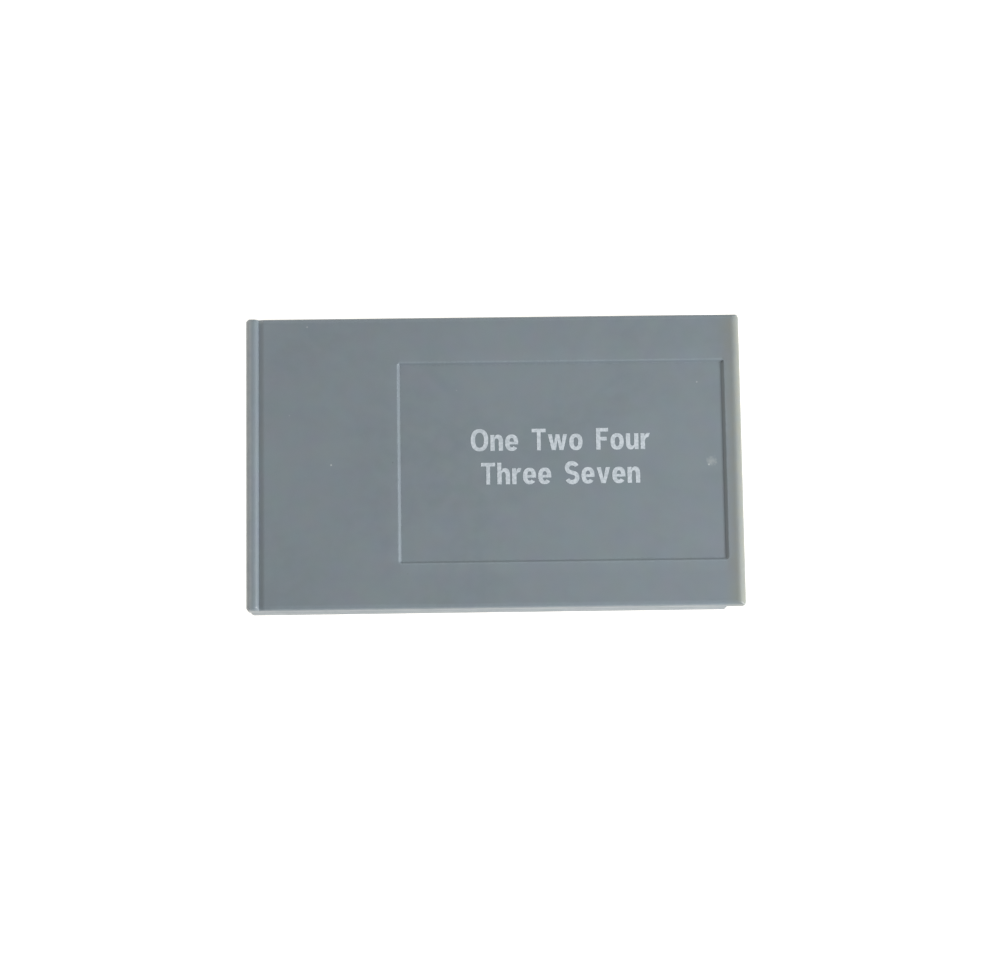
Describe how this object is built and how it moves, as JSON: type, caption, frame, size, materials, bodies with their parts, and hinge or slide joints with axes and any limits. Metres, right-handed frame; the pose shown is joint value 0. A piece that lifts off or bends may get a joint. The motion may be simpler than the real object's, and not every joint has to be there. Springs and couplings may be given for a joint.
{
  "type": "sound card for an electronic game caller",
  "caption": "Slim plug-in sound card with a pull lip, a recessed label panel and an edge connector under a hooded nose.",
  "frame": {"origin": "on the back face, under the middle of the card's outline", "axes": "+X towards the nose that goes into the caller, -X towards the pull lip, +Z out of the front face with the label panel"},
  "size_m": [0.0636, 0.0378, 0.0063],
  "materials": {
    "shell_plastic": "fine moulded texture, slate grey",
    "legend_ink": "pad-printed ink, light grey",
    "board_laminate": "glass-epoxy board with green solder mask",
    "contact_gold": "gold-plated copper",
    "chip_package": "black moulding compound",
    "tantalum_body": "moulded, amber",
    "capacitor_ceramic": "satin tan ceramic",
    "resistor_body": "black glazed film on ceramic",
    "screw_steel": "nickel-plated steel"
  },
  "bodies": {
    "root": {"front_shell": "shell_plastic", "back_shell": "shell_plastic", "circuit_board": "board_laminate", "sound_memory_chip": "chip_package", "tantalum_capacitor": "tantalum_body", "bypass_capacitor_1": "capacitor_ceramic", "bypass_capacitor_2": "capacitor_ceramic", "pull_up_resistor_1": "resistor_body", "pull_up_resistor_2": "resistor_body", "pull_up_resistor_3": "resistor_body", "pull_up_resistor_4": "resistor_body", "contact_finger_01": "contact_gold", "contact_finger_02": "contact_gold", "contact_finger_03": "contact_gold", "contact_finger_04": "contact_gold", "contact_finger_05": "contact_gold", "contact_finger_06": "contact_gold", "contact_finger_07": "contact_gold", "contact_finger_08": "contact_gold", "contact_finger_09": "contact_gold", "contact_finger_10": "contact_gold", "contact_finger_11": "contact_gold", "contact_finger_12": "contact_gold", "contact_finger_13": "contact_gold", "contact_finger_14": "contact_gold", "contact_finger_15": "contact_gold", "contact_finger_16": "contact_gold", "case_screw_1": "screw_steel", "case_screw_2": "screw_steel", "case_screw_3": "screw_steel", "case_screw_4": "screw_steel"}
  },
  "joints": []
}
